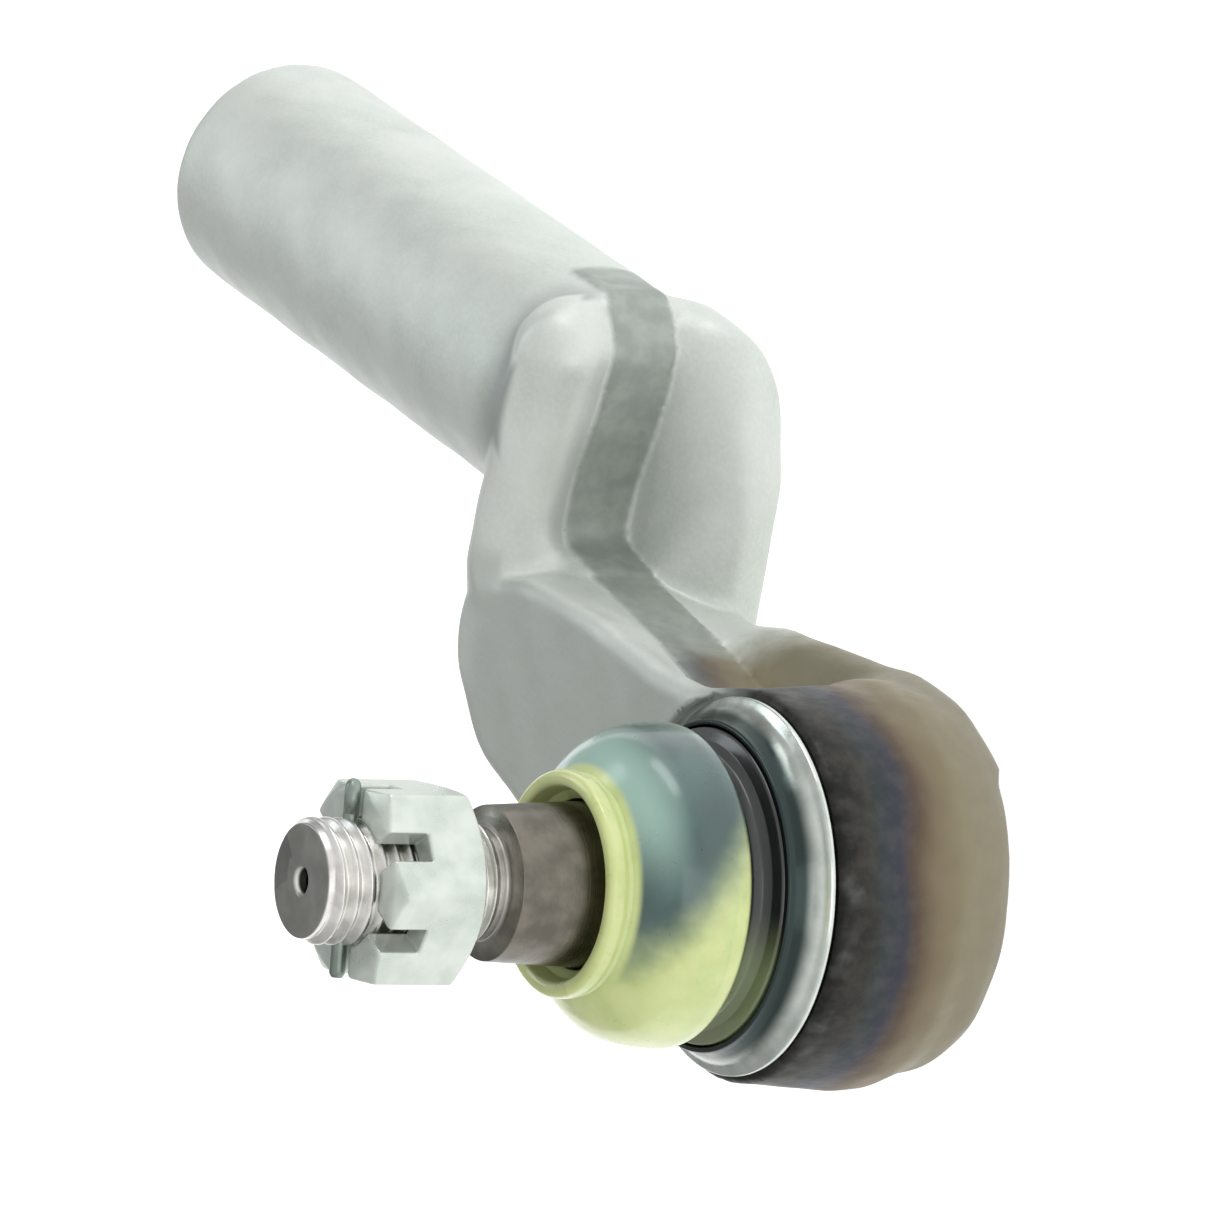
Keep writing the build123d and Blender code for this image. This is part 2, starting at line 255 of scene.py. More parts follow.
# ==== solids as distance fields ===============================================
def outline_distance(a, b, outline):
    """Signed distance from a closed outline in the plane, less than 0 inside it."""
    best = np.full(np.broadcast(a, b).shape, 1e12, np.float32)
    inside = np.zeros(best.shape, bool)
    for (a0, b0), (a1, b1) in zip(outline, np.roll(outline, -1, axis=0)):
        ea, eb = a1 - a0, b1 - b0
        if ea == 0 and eb == 0:
            continue
        t = np.clip(((a - a0) * ea + (b - b0) * eb) / (ea * ea + eb * eb), 0, 1)
        best = np.minimum(best, (a - a0 - t * ea) ** 2 + (b - b0 - t * eb) ** 2)
        if eb != 0:
            inside ^= ((b0 > b) != (b1 > b)) & (a < a0 + ea * (b - b0) / eb)
    return np.where(inside, -1, 1) * np.sqrt(best)


def slab(plan, height, middle, half, edge):
    """A plan distance made into a plate with rounded edges."""
    out = plan + edge
    up = np.abs(height - middle) - half + edge
    return np.hypot(np.maximum(out, 0), np.maximum(up, 0)) + np.minimum(np.maximum(out, up), 0) - edge


def join(a, b, reach):
    """Union with a fillet of about that reach."""
    mix = np.clip(0.5 + 0.5 * (b - a) / reach, 0, 1)
    return b + (a - b) * mix - reach * mix * (1 - mix)


def cut(a, b, reach):
    """a without b."""
    return -join(-a, b, reach)


def ease(value, low, high):
    """0 below low, 1 above high, and smooth in between."""
    t = np.clip((value - low) / (high - low), 0, 1)
    return t * t * (3 - 2 * t)


def surface_net(field, low, high, pitch, settle=2):
    """Quads over the zero level of field(x, y, z), its points moved onto it."""
    axes = [np.arange(l - 3.5 * pitch, h + 4.5 * pitch, pitch, dtype=np.float32) for l, h in zip(low, high)]
    x, y, z = axes[0][:, None, None], axes[1][None, :, None], axes[2][None, None, :]
    value = field(x, y, z).astype(np.float32)
    inside = value < 0
    shape = np.array(value.shape) - 1
    corners = [(i, j, k) for i in (0, 1) for j in (0, 1) for k in (0, 1)]

    def shifted(array, corner):
        return array[tuple(slice(c, c + n) for c, n in zip(corner, shape))]

    count = sum(shifted(inside, c).astype(np.int8) for c in corners)
    cells = np.argwhere((count > 0) & (count < 8))
    index = np.full(tuple(shape), -1, np.int64)
    index[tuple(cells.T)] = np.arange(len(cells))
    total = np.zeros((len(cells), 3))
    hits = np.zeros(len(cells))
    for a in corners:
        for axis in range(3):
            if a[axis]:
                continue
            b = list(a)
            b[axis] = 1
            va = value[tuple((cells + a).T)]
            vb = value[tuple((cells + b).T)]
            crosses = (va < 0) != (vb < 0)
            t = np.where(crosses, va / np.where(crosses, va - vb, 1), 0)
            point = cells + np.array(a, float)
            point[:, axis] += t
            total += point * crosses[:, None]
            hits += crosses
    points = total / hits[:, None] * pitch + [axis[0] for axis in axes]
    faces = []
    for axis in range(3):
        u, v = (axis + 1) % 3, (axis + 2) % 3
        span_a = [slice(1, n) for n in shape]
        span_a[axis] = slice(0, shape[axis])
        span_b = list(span_a)
        span_b[axis] = slice(1, shape[axis] + 1)
        edge = inside[tuple(span_a)] != inside[tuple(span_b)]
        start = np.argwhere(edge) + [0 if k == axis else 1 for k in range(3)]
        step_u, step_v = np.eye(3, dtype=int)[u], np.eye(3, dtype=int)[v]
        ring = [start, start - step_u, start - step_u - step_v, start - step_v]
        quad = np.stack([index[tuple(r.T)] for r in ring], 1)
        flip = ~inside[tuple(start.T)]
        quad[flip] = quad[flip][:, ::-1]
        faces.append(quad)
    faces = np.vstack(faces)
    for _ in range(settle):
        points = project(field, relax(points, faces))
    return points, faces


def relax(points, faces):
    """Each point moved half way to the mean of its faces' middles."""
    middle = points[faces].mean(1)
    total = np.zeros_like(points)
    count = np.zeros(len(points))
    for k in range(4):
        np.add.at(total, faces[:, k], middle)
        np.add.at(count, faces[:, k], 1)
    return points + 0.5 * (total / count[:, None] - points)


def project(field, points, step=0.08):
    """Points moved along the field's gradient onto its zero level."""
    x, y, z = points.T
    here = field(x, y, z)
    slope = np.stack(
        [
            field(x + step, y, z) - field(x - step, y, z),
            field(x, y + step, z) - field(x, y - step, z),
            field(x, y, z + step) - field(x, y, z - step),
        ],
        -1,
    ) / (2 * step)
    size = np.maximum((slope**2).sum(-1), 0.2)
    move = slope * (here / size)[:, None]
    return points - np.clip(move, -0.8, 0.8)


# ==== the forging =============================================================
# Outlines in the planes across Z, as corners (x, y, radius). The arm has three of each:
# one at the flash line, one for the half nearer the stud and one for the half away from it.
neck_end = [(122, -24, 10), (125, -8, 16), (101, 12, 20), (60, 21, 60), (32, 33.5, 40), (14, 32, 0)]
neck_line = rounded([(14, -20, 0), (42, -20.5, 30), (64, -25.0, 60), (110, -29.5, 6)] + neck_end)
neck_near = rounded(
    [(14, -32, 0), (42, -28.5, 20), (70, -29.5, 60), (97, -27.0, 14), (113, -21.5, 8), (121.5, -13, 9)]
    + neck_end[1:]
)
neck_away = rounded(
    [(-16, -31, 0), (-2, -37.2, 20), (14, -38.6, 30), (44, -33.4, 40), (62, -30.5, 20), (76, -26.0, 20)]
    + [(110, -27, 6)] + neck_end
)
crank_end = [(122, -82, 10), (125, -36, 60), (124, -13, 12)]
crank_line = rounded(
    [(97, -13, 2), (97, -28.2, 1), (110.6, -30.2, 7), (111.0, -42, 25), (107.2, -57, 30), (105.0, -72, 7)]
    + [(109.5, -79.5, 12)] + crank_end
)
crank_near = rounded(
    [(103.0, -12, 9), (104.0, -40, 30), (103.4, -57, 30), (101.6, -71, 9), (107.0, -79.5, 12)]
    + [(122, -82, 10), (125.5, -36, 60), (125.5, -9.5, 14)]
)
crank_away = rounded(
    [(83, -13, 9), (84.5, -38, 30), (85.5, -52, 20), (92.5, -68, 20), (103, -82, 12)] + crank_end
)
housing_outline = rounded(
    [
        (28.5, housing_bottom, 0.6), (33.2, housing_bottom + 1.6, 3), (35.5, parting_z - 17, 5),
        (36.2, parting_z - 12.5, 5), (38.6, parting_z - 6.5, 5), (39.1, parting_z - 0.5, 8),
        (38.6, parting_z + 7, 12), (37.8, shoulder_z - 1.2, 1.0), (36.8, shoulder_z, 0.4),
        (-36.8, shoulder_z, 0), (-39.1, parting_z, 0), (-28.5, housing_bottom, 0),
    ]
)
neck_half = 22.5
neck_edge = 3.2
crank_half = 28.0
crank_middle = forging_low[2] + crank_half
crank_edge = 13.0
crank_top = (27.3, 33.5)      # half axes of the crank's rounded top about the shank's axis
band_half = 7.2
flash_proud = 0.6
valley_rise = 13.0            # the lobes reach their full height this far from the flash line
mouth_edge = 3.0
shank_start = 112.0
shank_face = shank_end - 0.5  # the machined mouth stands out past the forged skin
seat_clear_r = 37.6
socket_r = 21.0               # the threaded socket's own surface takes over inside this
socket_start = shank_end - female_depth - 9.0
forging_pitch = 1.12
skin_lean = 5.2               # the forged drum stands off the bore by this towards -Y


def unevenness(x, y, z):
    """The slow waviness of a hammered skin."""
    return (
        np.sin(0.21 * x + 0.13 * y + 0.3) * np.sin(0.19 * y - 0.17 * z + 1.1)
        + 0.6 * np.sin(0.37 * x - 0.29 * z + 2.0) * np.sin(0.33 * y + 0.41 * z)
    )


def arm_plan(x, y, z, line, near, away):
    """Distance from the arm's outline, which changes from the flash line to each side of it."""
    middle = outline_distance(x, y, line)
    plan = middle
    for outline, off in ((near, z - parting_z), (away, parting_z - z)):
        rise = np.clip((off - band_half) / valley_rise, 0, 1)
        plan = plan + (outline_distance(x, y, outline) - middle) * rise * (2 - rise)
    return plan


def forged_solids(x, y, z):
    """The forged blank without its flash line."""
    lean = (2.8 + (skin_lean - 2.8) * ease(x, -5.0, 25.0)) * ease(-y, -20.0, 30.0)
    lean = lean * ease(parting_z - z, 0.0, 14.0)
    housing = outline_distance(np.hypot(x, y + lean), z, housing_outline)
    neck = slab(arm_plan(x, y, z, neck_line, neck_near, neck_away), z, parting_z, neck_half, neck_edge)
    crank = slab(
        arm_plan(x, y, z, crank_line, crank_near, crank_away), z, crank_middle, crank_half, crank_edge
    )
    top = np.hypot(np.minimum(y - shank_y, 0) / crank_top[0], (z - parting_z) / crank_top[1]) - 1
    crank = cut(crank, -top * crank_top[0], 3.0)
    shank_radius = np.hypot(y - shank_y, z - parting_z)
    middle = (shank_start + shank_face) / 2
    shank = slab(shank_radius - shank_r, x, middle, shank_face - middle, mouth_edge)
    blank = join(neck, crank, 3.0)
    blank = join(blank, housing, 6.0)
    blank = join(blank, shank, 3.0)
    return blank + 0.10 * unevenness(x, y, z)


def flash_line(x, y, z):
    """1 on the trimmed flash line along the arm, and 0 away from it."""
    ragged = 0.3 * np.sin(1.15 * x + 0.8 * y) * np.sin(0.7 * x - 1.3 * y + 1.0)
    strip = 1 - ease(np.abs(z - parting_z) + ragged, band_half - 0.5, band_half + 0.5)
    along = ease(np.hypot(x, y), 40.0, 46.0) * (1 - ease(x, 125.0, 130.0))
    return strip * along


def forging(x, y, z):
    """The whole forging, with its bores and the machined seat of the boot's ring."""
    body = forged_solids(x, y, z) - flash_proud * flash_line(x, y, z)
    radius = np.hypot(x, y)
    body = cut(body, np.maximum(radius - seat_clear_r, shoulder_z - z), 0.8)
    body = cut(body, radius - core_r, 0.3)
    socket = np.hypot(y - shank_y, z - parting_z) - socket_r
    body = cut(body, np.maximum(socket, socket_start - x), 0.3)
    return body


def build_forging(surface):
    points, faces = surface_net(forging, forging_low, forging_high, forging_pitch)
    points = np.clip(points, forging_low + 0.01, forging_high - 0.01)
    piece = make_piece(
        "forged_body", points, faces.tolist(), "housing", ["housing_forging"], surface
    )
    mask = piece.data.attributes.new("flash", "FLOAT", "POINT")
    mask.data.foreach_set("value", flash_line(*points.T).astype(np.float32))
    return piece


def build_housing_core(surface):
    """The bored inside of the housing, with its rolled lip and neck."""
    throat_r, mouth_r, neck_r, shell_r, lip_r, cap_r = 20.6, 23.2, 27.2, 25.5, 26.8, 28.55
    throat_z = ball_z + math.sqrt(shell_r**2 - throat_r**2)
    seat_z = cap_high[2]
    arc = [
        (shell_r * math.cos(t), ball_z + shell_r * math.sin(t))
        for t in np.linspace(0, math.acos(throat_r / shell_r), 10)
    ]
    inside = rounded(
        [
            (core_r + 0.2, housing_bottom + 0.6, 0), (core_r - 0.4, housing_bottom, 0.5),
            (lip_r + 0.3, housing_bottom, 0.3), (lip_r, housing_bottom + 0.5, 0.2),
            (lip_r, housing_bottom + 1.1, 0.1), (cap_r, housing_bottom + 1.1, 0.1),
            (cap_r, seat_z, 0.1), (shell_r, seat_z, 0.3), (shell_r, ball_z, 0),
        ],
        closed=False,
    )
    outside = rounded(
        [
            (throat_r, throat_z, 0), (throat_r, throat_z + 1.5, 1.0), (mouth_r, housing_top - 1.0, 1.0),
            (mouth_r + 1.0, housing_top, 0.3), (neck_r, housing_top, 0.6), (neck_r, shoulder_z, 0.4),
            (core_r + 0.2, shoulder_z, 0),
        ],
        closed=False,
    )
    points, faces = lathe(np.vstack([inside[:-1], arc, outside[1:]]), 144)
    return make_piece("housing_core", points, faces, "housing", [], surface)


def build_thread_socket(surface):
    """The shank's faced mouth and its female thread."""
    depth = 0.9 * thread_depth * female_pitch
    start = shank_end - female_depth
    outer_r = socket_r + 1.0
    rows = int(female_depth / female_pitch * 5)
    thread = [(female_minor_r, z) for z in np.linspace(start, shank_end - 1.3, rows)]
    profile = (
        [(0, start - 8.5), (female_minor_r - 0.4, start - 1.6), (female_minor_r, start - 0.6)]
        + thread
        + [(female_minor_r + 1.3, shank_end), (outer_r - 0.4, shank_end), (outer_r, shank_end - 0.4)]
        + [(outer_r, start - 9.5), (0, start - 9.5)]
    )

    def helix(radius, height, around):
        turn = (height / female_pitch - around / (2 * math.pi)) % 1.0
        vee = np.clip((np.abs(2 * turn - 1) - 0.15) / 0.7, 0, 1)
        here = ease(height, start - 0.2, start + 2) * (1 - ease(height, shank_end - 2.6, shank_end - 1.2))
        inner = np.abs(radius - female_minor_r) < 1e-6
        return radius + depth * vee * here * inner

    points, faces = lathe(profile, 96, closed=False, shape=helix)
    points = along_x(points, shank_y, parting_z)
    return make_piece("threaded_socket", points, faces, "housing", [], surface)


# ==== stud, nut and pin =======================================================
def build_stud(surface):
    """The ball stud, with its thread cut as a helix."""
    taper_r, per_mm, taper_top, neck_r = 16.0, 0.05, 23.5, 11.0
    small_r = taper_r - per_mm * taper_top
    thread_foot = 27.7
    neck_angle = math.acos(neck_r / ball_r)
    ball = [
        (ball_r * math.cos(t), ball_z + ball_r * math.sin(t))
        for t in np.linspace(-math.pi / 2, neck_angle, 56)
    ]
    ball[0] = (0.0, ball_z - ball_r)
    neck = smooth_line([ball[-1], (neck_r, -18.0), (12.6, -9.5), (15.4, -3.4), (taper_r, -2.0)], 6)[1:]
    cone = [(taper_r - per_mm * z, z) for z in np.linspace(0, taper_top - 0.4, 12)]
    relief = rounded(
        [
            cone[-1] + (0,), (small_r, taper_top, 0.3), (10.8, taper_top + 0.8, 0.8),
            (10.8, thread_foot - 1.3, 0.8), (thread_r, thread_foot, 0.2), (thread_r, thread_foot + 0.4, 0),
        ],
        closed=False,
    )[1:]
    rows = int((stud_top - 1.5 - thread_foot) / 0.22)
    thread = [(thread_r, z) for z in np.linspace(thread_foot + 0.6, stud_top - 1.5, rows)]
    end = rounded(
        [
            (thread_r, stud_top - 1.5, 0), (thread_r - 1.3, stud_top, 0.4), (2.9, stud_top, 0.3),
            (1.6, stud_top - 2.0, 0.2), (1.6, stud_top - 6.0, 0), (0, stud_top - 7.0, 0),
        ],
        closed=False,
    )[1:]
    profile = np.vstack([ball, neck, cone, relief, thread, end])
    depth = 0.86 * thread_depth * thread_pitch

    def helix(radius, height, around):
        turn = (height / thread_pitch - around / (2 * math.pi)) % 1.0
        vee = np.clip((np.abs(2 * turn - 1) - 0.14) / 0.72, 0, 1)
        here = ease(height, thread_foot - 1.0, thread_foot + 1.5)
        limit = thread_r - depth * vee * here
        on_thread = (height > thread_foot - 1.0) & (radius > thread_r - 2.6)
        return np.where(on_thread, np.minimum(radius, limit), radius)

    points, faces = lathe(profile, 144, closed=False, shape=helix)
    return make_piece("turned_stud", points, faces, "stud", ["ball_stud"], surface)


def nut_field(x, y, z):
    """A slotted hexagon nut with chamfered faces."""
    flats = [nut_turn + math.radians(30 + 60 * k) for k in range(3)]
    body = np.abs(x * math.cos(flats[0]) + y * math.sin(flats[0])) - nut_af / 2
    for angle in flats[1:]:
        body = cut(body, nut_af / 2 - np.abs(x * math.cos(angle) + y * math.sin(angle)), 0.5)
    radius = np.hypot(x, y)
    middle = (nut_top + nut_bottom) / 2
    off = np.abs(z - middle) - (nut_top - nut_bottom) / 2
    body = cut(body, -off, 0.3)
    bevel = off * math.cos(math.radians(30)) + (radius - nut_bevel_r) * math.sin(math.radians(30))
    body = cut(body, -bevel, 0.4)
    for angle in flats:
        across = np.abs(-x * math.sin(angle) + y * math.cos(angle)) - slot_width / 2
        body = cut(body, np.maximum(across, nut_top - slot_depth - z), 0.5)
    body = cut(body, radius - thread_r - 0.15, 0.3)
    rim = (radius - thread_r - 1.1) + (z - nut_bottom)
    return cut(body, rim, 0.2)


def build_nut(surface):
    points, faces = surface_net(nut_field, nut_low, nut_high, 0.45)
    points = np.clip(points, nut_low, nut_high)
    return make_piece("slotted_nut", points, faces.tolist(), "stud", ["castle_nut"], surface)


def build_pin(surface):
    """A split pin: one half-round wire that runs out, round the eye and back."""
    wire_r, tip, gap = 1.5, 18.2, 0.07
    tilt = math.radians(30.0)
    axis = np.array([math.cos(nut_turn + math.pi / 2), math.sin(nut_turn + math.pi / 2), 0])
    side = np.array([-axis[1] * math.cos(tilt), axis[0] * math.cos(tilt), math.sin(tilt)])
    normal = np.cross(axis, side)
    eye = [(-12.4, gap), (-13.4, 0.2), (-14.6, 0.95), (-15.8, 1.4), (-17.0, 1.2), (-17.8, 0.65)]
    half = smooth_line([(tip, gap), (tip - 5, gap), (0, gap)] + eye + [(-18.0, 0)], 6)
    back = half[::-1][1:] * [1, -1]
    path = np.vstack([half, back[:-3]])
    ahead = np.gradient(path, axis=0)
    ahead /= np.linalg.norm(ahead, axis=1)[:, None]
    outward = np.stack([ahead[:, 1], -ahead[:, 0]], -1)
    section = [(wire_r * math.sin(t), wire_r * math.cos(t)) for t in np.linspace(0, math.pi, 15)]
    section += [(0, h) for h in np.linspace(-wire_r, wire_r, 6)[1:-1]]
    shrink = np.ones(len(path))
    shrink[[0, -1]] = 0.72
    points = []
    for place, away, scale in zip(path, outward, shrink):
        for out, up in section:
            along, across = place + away * out * scale
            points.append(axis * along + side * across + normal * up * scale)
    count = len(section)
    faces = [
        (i * count + k, (i + 1) * count + k, (i + 1) * count + (k + 1) % count, i * count + (k + 1) % count)
        for i in range(len(path) - 1)
        for k in range(count)
    ]
    faces += [tuple(range(count)), tuple(reversed(range((len(path) - 1) * count, len(path) * count)))]
    points = np.array(points) + [0, 0, pin_z]
    return make_piece("split_pin", points, faces, "stud", ["cotter_pin"], surface)


def build_spring(surface):
    """The disc spring under the lower shell."""
    node = frame["nodes"]["preload_spring"]
    points = np.array([v.co for v in node.data.vertices]) / MM
    faces = [tuple(p.vertices) for p in node.data.polygons]
    piece = make_piece("disc_spring", points, faces, "housing", ["preload_spring"], surface)
    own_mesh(piece)


# ==== boot and its ring =======================================================
def build_ring(surface):
    """The pressed ring that clamps the boot's foot, flared out to a rolled rim."""
    wall = 1.2
    outer_r = ring_seat_r + wall
    outer = smooth_line(
        [
            (rim_r - 0.2, shoulder_z + 1.5), (rim_r - 2.0, shoulder_z + 2.4), (outer_r + 1.0, ring_top - 3.8),
            (outer_r + 0.1, ring_top - 1.6), (outer_r, ring_top - 0.4),
        ],
        6,
    )
    top = [(outer_r - 0.3, ring_top), (ring_seat_r + 0.3, ring_top)]
    inner = smooth_line(
        [
            (ring_seat_r, ring_top - 0.4), (ring_seat_r + 0.1, ring_top - 2.0),
            (ring_seat_r + 1.0, ring_top - 4.8), (rim_r - 2.8, shoulder_z + 1.1), (rim_r - 1.6, shoulder_z),
        ],
        6,
    )
    rim = rounded(
        [(rim_r - 1.6, shoulder_z, 0), (rim_r, shoulder_z, 0.6), (rim_r, shoulder_z + 1.4, 0.5)],
        closed=False,
    )
    points, faces = lathe(np.vstack([outer, top, inner, rim[1:]]), 160)
    return make_piece(
        "retaining_ring", points, faces, "housing", ["boot_retaining_ring"], surface
    )


def boot_profile():
    """The boot's wall, out and up from its foot to the lip, and down the inside."""
    foot_r, foot_z = ring_seat_r - 0.3, shoulder_z + 0.3
    waist, shoulder = housing_top + 0.5, insert_high[2] + 0.4
    fold = waist + 6.2
    foot = rounded(
        [
            (27.5, foot_z, 0), (foot_r, foot_z, 0.6), (foot_r, waist - 1.4, 0.8), (28.0, waist - 0.6, 0.6),
            (26.6, waist + 0.8, 0.8), (26.6, waist + 3.4, 1.2), (29.4, waist + 4.8, 0),
        ],
        closed=False,
    )
    bulge = smooth_line(
        [
            (29.4, waist + 4.8), (30.7, fold - 0.3), (31.2, fold + 1.6), (31.2, fold + 4.0),
            (30.5, fold + 9.4), (28.9, fold + 13.4), (26.2, fold + 16.6), (22.9, shoulder - 0.1),
        ],
        6,
    )
    lip = rounded(
        [
            (22.9, shoulder - 0.1, 0), (21.3, shoulder + 0.7, 0.5), (21.2, shoulder + 1.6, 0.5),
            (lip_outer_r, shoulder + 2.7, 0.8), (lip_outer_r, lip_top, 1.5), (18.8, lip_top, 1.2),
            (18.0, lip_top - 3.6, 0.8), (16.35, insert_high[2] + 1.2, 0.3),
            (16.35, insert_high[2] + 0.3, 0), (18.65, insert_high[2] + 0.3, 0),
            (18.65, insert_low[2], 0), (20.6, insert_low[2] - 0.5, 0),
        ],
        closed=False,
    )
    inside = smooth_line(
        [
            (20.6, insert_low[2] - 0.5), (26.0, insert_low[2] - 2.0), (29.0, insert_low[2] - 6.5),
            (29.2, fold + 2.6), (27.2, fold - 0.6), (25.0, waist + 3.0), (25.0, waist + 0.6),
            (27.3, waist - 0.3), (27.4, waist - 1.5), (27.5, foot_z),
        ],
        6,
    )
    return np.vstack([foot[:-1], bulge[:-1], lip[:-1], inside[:-1]])


def build_boot(surface):
    """The boot in two bands that meet at the seam, each closed by an end wall there."""
    profile = boot_profile()
    steps = 160
    points, faces = lathe(profile, steps)
    normals = turned_normals(profile, steps)
    top = int(np.argmax(profile[:, 1]))
    outer_rim = steps * int(np.argmin(np.abs(profile[:top, 1] - seam_z)))
    inner_rim = steps * (top + int(np.argmin(np.abs(profile[top:, 1] - seam_z))))
    turn = [(k, (k + 1) % steps) for k in range(steps)]
    end_wall = [(outer_rim + a, outer_rim + b, inner_rim + b, inner_rim + a) for a, b in turn]
    lower = [f for f in faces if not outer_rim <= f[0] < inner_rim] + end_wall
    upper = [f for f in faces if outer_rim <= f[0] < inner_rim] + [f[::-1] for f in end_wall]
    for name, chosen, bodies, start, end in (
        ("boot_lower", lower, ("housing", "boot"), ring_top + 1.0, seam_z - 0.4),
        ("boot_upper", upper, ("boot", "boot_collar"), seam_z + 0.4, insert_low[2] + 1.0),
    ):
        used = np.unique(np.array(chosen))
        band_points, band_faces = keep_used(points, chosen)
        piece = make_piece(name, band_points, band_faces, None, ["dust_boot"], surface)
        piece.data.normals_split_custom_set_from_vertices(normals[used].tolist())
        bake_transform(piece)


def turned_normals(profile, steps):
    """Outward normals of a closed turned profile, one per lathe point."""
    along = np.roll(profile, -1, axis=0) - profile
    length = np.linalg.norm(along, axis=1)
    faces = np.stack([along[:, 1], -along[:, 0]], -1) / length[:, None]
    weight = (1 / length)[:, None]
    mean = faces * weight + np.roll(faces * weight, 1, axis=0)
    mean /= np.linalg.norm(mean, axis=1)[:, None]
    angles = np.linspace(0, 2 * math.pi, steps, endpoint=False)
    x = mean[:, :1] * np.cos(angles)
    y = mean[:, :1] * np.sin(angles)
    z = np.repeat(mean[:, 1:], steps, 1)
    return np.stack([x, y, z], -1).reshape(-1, 3)


# ==== materials ===============================================================
def tone(red, green, blue):
    """A colour given as display levels from 0 to 255, as the linear colour a node takes."""
    levels = [c / 255 for c in (red, green, blue)]
    return tuple(c / 12.92 if c <= 0.04 else ((c + 0.055) / 1.055) ** 2.4 for c in levels) + (1.0,)


class Surface:
    """A Principled material, with short calls for the nodes that feed it."""

    def __init__(self, name, roughness=0.5, metallic=0.0, **sockets):
        self.material = bpy.data.materials.new(name)
        self.material.use_nodes = True
        self.tree = self.material.node_tree
        self.shader = self.tree.nodes["Principled BSDF"]
        self.shader.inputs["Roughness"].default_value = roughness
        self.shader.inputs["Metallic"].default_value = metallic
        for socket, value in sockets.items():
            self.shader.inputs[socket.replace("_", " ")].default_value = value
        self.place = self.tree.nodes.new("ShaderNodeTexCoord").outputs["Object"]

    def add(self, kind, inputs=(), **settings):
        node = self.tree.nodes.new(kind)
        for setting, value in settings.items():
            setattr(node, setting, value)
        for socket, value in inputs:
            if isinstance(value, bpy.types.NodeSocket):
                self.tree.links.new(value, node.inputs[socket])
            else:
                node.inputs[socket].default_value = value
        return node

    def noise(self, size, detail=3.0, stretch=None, rough=0.55):
        """Noise whose grains are about size millimetres; stretch scales it along each axis."""
        place = self.place
        if stretch:
            stretched = self.add("ShaderNodeVectorMath", [(0, place), (1, stretch)], operation="MULTIPLY")
            place = stretched.outputs[0]
        inputs = [("Vector", place), ("Scale", 1 / (size * MM)), ("Detail", detail), ("Roughness", rough)]
        return self.add("ShaderNodeTexNoise", inputs).outputs["Fac"]

    def axis(self, name):
        """One object coordinate, in millimetres."""
        split = self.add("ShaderNodeSeparateXYZ", [(0, self.place)]).outputs[name]
        return self.math("MULTIPLY", split, 1 / MM)

    def math(self, operation, a, b=0.0, c=0.0, clamp=False):
        inputs = [(0, a), (1, b), (2, c)]
        return self.add("ShaderNodeMath", inputs, operation=operation, use_clamp=clamp).outputs[0]

    def product(self, value, *factors):
        for factor in factors:
            value = self.math("MULTIPLY", value, factor)
        return value

    def hypot(self, a, b):
        return self.math("SQRT", self.math("ADD", self.product(a, a), self.product(b, b)))

    def between(self, value, low, high, to_low=0.0, to_high=1.0):
        """The value mapped smoothly from low and high to two other values."""
        inputs = [("Value", value), ("From Min", low), ("From Max", high)]
        inputs += [("To Min", to_low), ("To Max", to_high)]
        return self.add("ShaderNodeMapRange", inputs, interpolation_type="SMOOTHSTEP").outputs[0]

    def mix(self, factor, a, b, blend="MIX"):
        node = self.add("ShaderNodeMix", data_type="RGBA", blend_type=blend)
        for socket, value in ((0, factor), (6, a), (7, b)):
            if isinstance(value, bpy.types.NodeSocket):
                self.tree.links.new(value, node.inputs[socket])
            else:
                node.inputs[socket].default_value = value
        return node.outputs[2]

    def ramp(self, factor, stops):
        """A colour ramp through (position, colour) stops."""
        node = self.add("ShaderNodeValToRGB", [(0, factor)])
        while len(node.color_ramp.elements) < len(stops):
            node.color_ramp.elements.new(0.5)
        for element, (position, colour) in zip(node.color_ramp.elements, stops):
            element.position = position
            element.color = colour
        return node.outputs[0]

    def feed(self, socket, value):
        self.tree.links.new(value, self.shader.inputs[socket])

    def relief(self, *layers):
        """Bump from (height socket, depth in millimetres) layers."""
        normal = None
        for height, depth in layers:
            inputs = [("Height", height), ("Distance", depth * MM), ("Strength", 1.0)]
            node = self.add("ShaderNodeBump", inputs)
            if normal:
                self.tree.links.new(normal, node.inputs["Normal"])
            normal = node.outputs[0]
        self.feed("Normal", normal)


